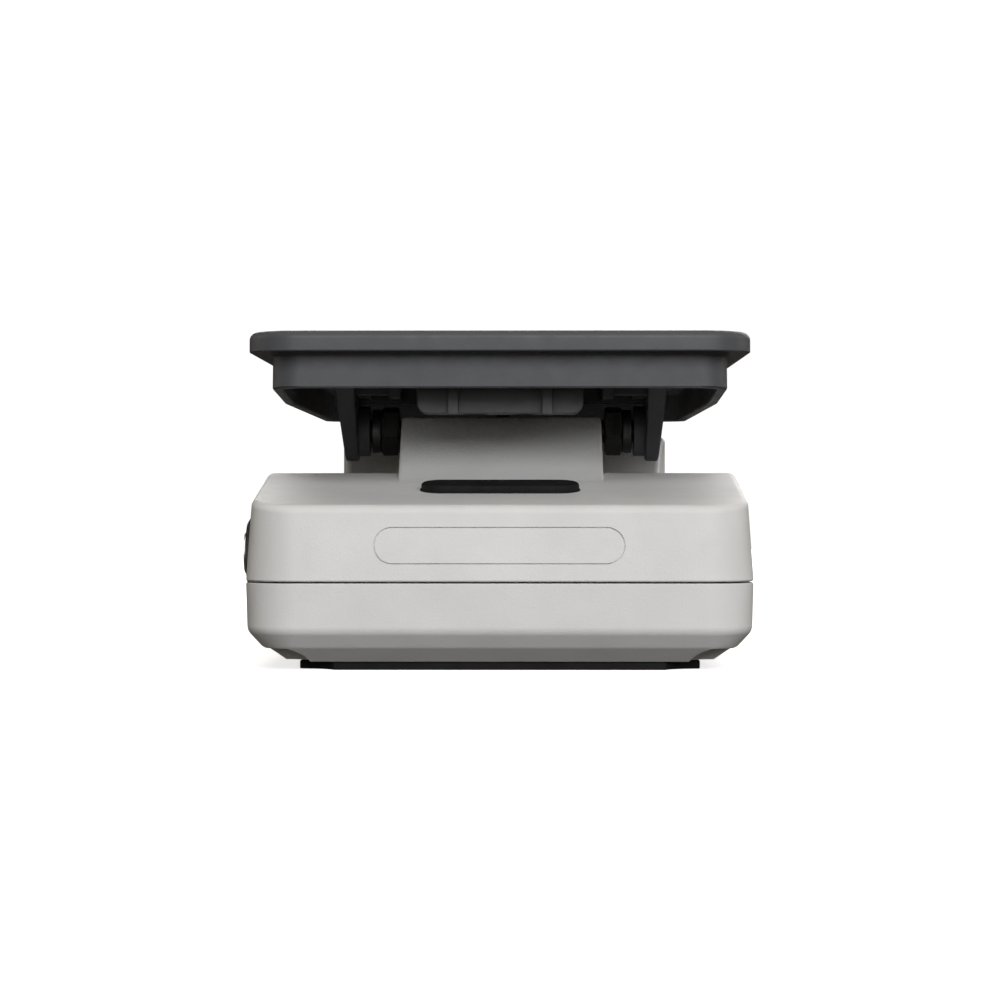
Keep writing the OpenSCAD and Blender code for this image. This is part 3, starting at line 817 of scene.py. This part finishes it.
def all_screws():
    screw_group("case_screw_set", "case_screws", "dark_steel", dark_steel, "base",
                CORNERS, -1, (5.2, 28.0, 3.5, 1.6, 2.8))
    screw_group("board_screw_set", "board_screws", "steel", bright_steel, "base",
                BOARD_POSTS, 1, (16.6, 8.8, 2.5, 1.2, 1.8))
    low, high = box_mm("bracket_screws")
    spots = [(16, low.y + 2.5), (16, high.y - 2.5)]
    screw_group("bracket_screw_set", "bracket_screws", "steel", bright_steel, "base",
                spots, 1, (high.z, low.z, 2.5, 1.2, 1.8))


# ---------------------------------------------------------------- treadle

def skirt_lift(y):
    """How far the skirt's lower edge rises towards the heel."""
    start, end = LIFT_Y
    return SKIRT_RISE * min(1.0, max(0.0, (start - y) / (start - end)))


def treadle_shell():
    """Rim plate, pad recess and skirt in one skin."""
    inner = SKIRT_INSET + SKIRT_T
    points = [(PAD_INSET, RIM_TOP - PAD_T), (PAD_INSET, RIM_TOP), (0, RIM_TOP), (0, RIM_Z),
              (SKIRT_INSET, RIM_Z), (SKIRT_INSET, SKIRT_Z), (inner, SKIRT_Z), (inner, PLATE_Z),
              (inner + 3, PLATE_Z)]
    radii = [0, 0.35, 1.6, 0.3, 0.7, 0.45, 0.45, 1.2, 0]
    profile = round_corners(points, radii, 6, closed=False)
    rings = []
    for inset, z in profile:
        share = min(1.0, max(0.0, (PLATE_Z - 1.2 - z) / (PLATE_Z - 1.2 - SKIRT_Z)))
        radius = RIM_R - inset + (0.9 if inset >= SKIRT_INSET else 0.0)
        outline = plan(RIM_X - inset, RIM_Y - inset, radius, [LIFT_Y[0]])
        rings.append([(x, y, z + share * skirt_lift(y)) for x, y in outline])
    return loft("treadle", rings, strips=True)


def lug():
    y, z = PIVOT
    points = [(y - 24, PLATE_Z + 1), (y - 18.5, 55.2), (y - 4.1, z - 5.05)]
    points += arc((y, z), 6.5, 231, 319, 12)[1:-1]
    points += [(y + 4.9, z - 4.3), (y + 19.5, PLATE_Z + 1)]
    plate = prism_x("lug", points, 31, 34.3)
    for vertex in plate.data.vertices:
        if vertex.co.x > 34:
            vertex.co.x = 33.9 + 0.075 * (vertex.co.z - 42.3)
    return soften(plate, 0.55, 3)


def rib(name, low, high, edge=0.4):
    return soften(block(name, low, high), edge, 2)


def treadle():
    body = treadle_shell()
    y, z = PIVOT
    top = PLATE_Z + 1
    side = [lug(), ring_x("boss", PIVOT, 28.5, 31.4, BEARING_R, 5.4),
            rib("inner_rib", (21.4, y - 18, 55.3), (23.8, y + 16, top)),
            rib("outer_rib", (28, y - 9, 55.6), (31.1, y + 9, top)),
            rib("cross_rib", (21.5, y - 15, 56), (31.5, y - 13, top))]
    for piece in side:
        weld(body, mirrored(piece))
        weld(body, piece)
    weld(body, rib("web", (-31, y - 1.5, 54.7), (31, y + 1.5, top)))
    cut(body, cylinder_x("bearing_bore", y, z, -BASE_X, BASE_X, BEARING_R))
    place(body, "treadle", treadle_coat, "treadle_paint", "treadle_casting", smooth=30)


def grip_pad():
    """Rubber pad: a flat border round staggered rows of raised pills."""
    low, high = box_mm("treadle_grip_pad")
    floor_z = high.z - 0.75
    corner = RIM_R - PAD_INSET - 0.2
    outline = plan(high.x, high.y, corner)
    edge = 3.2
    rings = [[(x, y, low.z) for x, y in outline]]
    profile = [(0, high.z - 0.3), (0.09, high.z - 0.09), (0.3, high.z), (edge - 0.3, high.z),
               (edge - 0.1, high.z - 0.2), (edge, floor_z)]
    for inset, z in profile:
        ring = plan(high.x - inset, high.y - inset, corner - inset)
        rings.append([(x, y, z) for x, y in ring])
    pad = loft("tread_pad", rings, strips=True)
    studs = []
    pitch_x, pitch_y, long, short = 13.2, 5.2, 9.6, 2.6
    rows = int((2 * (high.y - edge) - 4) / pitch_y)
    first_y = -pitch_y * (rows - 1) / 2
    for row in range(rows):
        shift = pitch_x / 2 if row % 2 else 0.0
        y = first_y + row * pitch_y
        for k in range(-4, 5):
            x = k * pitch_x + shift
            half = min(long / 2, high.x - edge - 1.4 - abs(x))
            if half < short / 2 + 0.8:
                continue
            studs.append((x, y, half))
    vertices, faces = [], []
    for x, y, half in studs:
        levels = [(0, floor_z - 0.1), (0, high.z - 0.35), (0.1, high.z - 0.12), (0.32, high.z)]
        for inset, z in levels:
            ring = stadium(2 * half - 2 * inset, short - 2 * inset, 5)
            start = len(vertices)
            vertices += [(x + u, y + v, z) for u, v in ring]
            count = len(ring)
            if inset or z != floor_z - 0.1:
                faces += [(start - count + i, start - count + (i + 1) % count,
                           start + (i + 1) % count, start + i) for i in range(count)]
        faces.append(tuple(range(start, start + count)))
        bottom = start - 3 * count
        faces.append(tuple(reversed(range(bottom, bottom + count))))
    weld(pad, new_object("studs", vertices, faces))
    place(pad, "treadle", tread_rubber, "rubber", "treadle_grip_pad", smooth=35)


def stop_block():
    low, high = box_mm("heel_stop_block")
    half, z0, z1 = high.x, low.z + 0.2, high.z
    outline = round_corners([(-half, z1), (-half, z0), (half, z0), (half, z1)], [0, 2.2, 2.2, 0], 6)
    y0, y1 = low.y + 2, high.y
    body = loft("stop_block", [[(x, y, z) for x, z in outline] for y in (y0, y1)])
    soften(body, 0.35, 2)
    for x in (-9.5, 9.5):
        weld(body, rib("block_rib", (x - 1.1, low.y, low.z), (x + 1.1, y0 + 1, z1 - 0.05), 0.3))
    for x in (-5, 5):
        cut(body, cylinder_z("screw_hole", x, -64.5, low.z - 1, z1 + 1, 1.4, 24))
        cut(body, cylinder_z("head_hole", x, -64.5, low.z - 1, z1 - 4, 2.7, 32))
    place(body, "treadle", block_plastic, "block_plastic", "heel_stop_block")


# ---------------------------------------------------------------- CAD nodes that stay

def dress_nodes():
    looks = {"output_jack_body": black_plastic, "input_jack_body": black_plastic,
             "circuit_board": board_green, "pot_bracket": bright_steel,
             "potentiometer": bright_steel, "pot_nut": bright_steel, "pot_wires": wire_red,
             "pot_shaft": bright_steel, "drive_pinion": gear_plastic,
             "sector_gear": gear_plastic, "treadle_screws": bright_steel}
    for node, look in looks.items():
        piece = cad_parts[node]
        piece.data.materials.clear()
        piece.data.materials.append(look)


# ---------------------------------------------------------------- studio

def studio():
    floor_half, dome_r = 1.6, 5.0
    mesh = bpy.data.meshes.new("floor")
    corners = [(-floor_half, -floor_half, 0), (floor_half, -floor_half, 0),
               (floor_half, floor_half, 0), (-floor_half, floor_half, 0)]
    mesh.from_pydata(corners, [], [(0, 1, 2, 3)])
    floor = bpy.data.objects.new("floor", mesh)
    bpy.context.scene.collection.objects.link(floor)
    look = Look("floor_white", 0.9, Specular_IOR_Level=0.0)
    look.shader.inputs["Base Color"].default_value = (0.9, 0.9, 0.9, 1)
    look.shader.inputs["Emission Color"].default_value = (1, 1, 1, 1)
    # The floor glows less near the middle, where the pedal stands: a painted shade round the pedal,
    # on top of its real contact shadow.
    away = look.tree.nodes.new("ShaderNodeVectorMath")
    away.operation = "LENGTH"
    look.link(look.space.outputs["Object"], away.inputs[0])
    glow_weaker_near_pedal = look.tree.nodes.new("ShaderNodeMapRange")
    glow_weaker_near_pedal.inputs["From Min"].default_value = 0.2
    glow_weaker_near_pedal.inputs["From Max"].default_value = 1.0
    glow_weaker_near_pedal.inputs["To Min"].default_value = 0.7
    glow_weaker_near_pedal.inputs["To Max"].default_value = 1.05
    look.link(away.outputs["Value"], glow_weaker_near_pedal.inputs["Value"])
    look.link(glow_weaker_near_pedal.outputs["Result"], look.shader.inputs["Emission Strength"])
    mesh.materials.append(look.material)
    floor.visible_diffuse = False
    floor.visible_glossy = False

    bpy.ops.mesh.primitive_uv_sphere_add(segments=64, ring_count=32, radius=dome_r)
    dome = bpy.context.object
    dome.name = "backdrop"
    dome.data.flip_normals()
    glow = Look("backdrop_white", 1.0, Specular_IOR_Level=0.0)
    glow.shader.inputs["Base Color"].default_value = (0, 0, 0, 1)
    glow.shader.inputs["Emission Color"].default_value = (1, 1, 1, 1)
    glow.shader.inputs["Emission Strength"].default_value = 1.05
    dome.data.materials.append(glow.material)
    for flag in ("visible_diffuse", "visible_glossy", "visible_transmission",
                 "visible_volume_scatter", "visible_shadow"):
        setattr(dome, flag, False)


def softbox(name, place_at, target, size, power, colour=(1, 1, 1)):
    light = bpy.data.lights.new(name, "AREA")
    light.shape = "RECTANGLE"
    light.size, light.size_y = size
    light.energy = power
    light.color = colour
    obj = bpy.data.objects.new(name, light)
    obj.location = place_at
    direction = Vector(target) - Vector(place_at)
    obj.rotation_mode = "QUATERNION"
    obj.rotation_quaternion = direction.to_track_quat("-Z", "Y")
    bpy.context.scene.collection.objects.link(obj)


def lights():
    softbox("key", (0.32, -1.5, 0.705), (0, 0, 0.03), (1.45, 0.86), 28.5, (0.985, 0.992, 1.0))
    softbox("low_front", (0.0, -1.6, 0.16), (0, 0, 0.03), (1.6, 0.25), 2.2)
    softbox("top", (0.0, 0.1, 1.6), (0, 0, 0), (1.6, 1.6), 6.7, (1.0, 0.80, 0.60))
    softbox("left_fill", (-1.5, 0.45, 0.5), (0, 0, 0.03), (1.0, 1.0), 4, (1.0, 0.93, 0.85))
    softbox("right_fill", (1.5, 0.45, 0.5), (0, 0, 0.03), (1.0, 1.0), 4.3, (1.0, 0.94, 0.87))
    softbox("back", (0.2, 1.5, 0.7), (0, 0, 0.03), (1.4, 1.0), 17)
    world = bpy.data.worlds.new("studio")
    world.use_nodes = True
    background = world.node_tree.nodes["Background"]
    background.inputs["Color"].default_value = (1.0, 0.88, 0.74, 1)
    background.inputs["Strength"].default_value = 0.065
    bpy.context.scene.world = world
    bpy.context.scene.view_settings.view_transform = "Standard"
    bpy.context.scene.view_settings.look = "None"


def camera():
    data = bpy.data.cameras.new("camera")
    data.sensor_width = 36
    data.lens = 105
    data.clip_start, data.clip_end = 0.05, 20
    data.dof.use_dof = False
    obj = bpy.data.objects.new("camera", data)
    distance = 0.570
    obj.location = (0.0054, -BASE_Y * MM - distance, 0.0322)
    look = Vector((-0.0092, 1, 0.0026))
    obj.rotation_mode = "QUATERNION"
    obj.rotation_quaternion = look.to_track_quat("-Z", "Y")
    bpy.context.scene.collection.objects.link(obj)
    bpy.context.scene.camera = obj


camera()
upper_housing()
lower_housing()
base_mat()
heel_pad()
toe_pad()
pivot_parts()
for jack, jack_side in (("output", -1), ("input", 1)):
    jack_sleeve(jack + "_sleeve", jack_side)
    jack_nut(jack + "_nut", jack_side)
all_screws()
treadle()
grip_pad()
stop_block()
dress_nodes()
studio()
lights()
